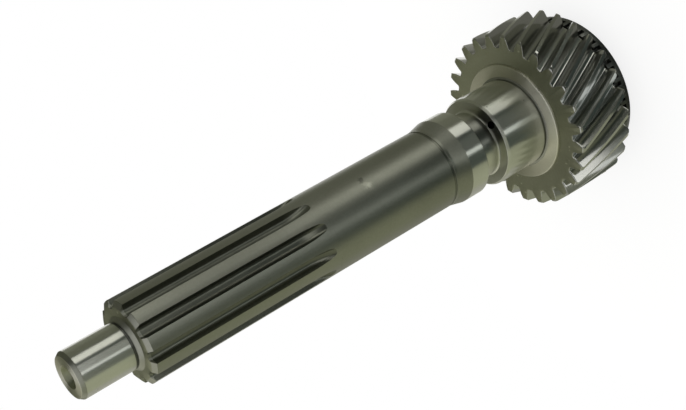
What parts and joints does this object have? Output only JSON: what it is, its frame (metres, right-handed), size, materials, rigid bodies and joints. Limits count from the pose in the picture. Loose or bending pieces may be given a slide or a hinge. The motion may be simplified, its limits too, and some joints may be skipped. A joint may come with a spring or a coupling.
{
  "type": "transmission input shaft",
  "caption": "Long stepped steel shaft: pilot journal, clutch spline, plain shank, seal seat, deep oil groove, bearing seat, helical gear with a notched ring, and a rear pocket.",
  "frame": {"origin": "on the shaft's axis, in the plane of its rear face", "axes": "+Z along the shaft's axis, from the rear face to the pilot journal; -Y through the middle of one spline tooth"},
  "size_m": [0.0802, 0.0802, 0.2702],
  "materials": {
    "steel": "satin, with ground journals"
  },
  "bodies": {
    "root": {"input_shaft": "steel"}
  },
  "joints": []
}
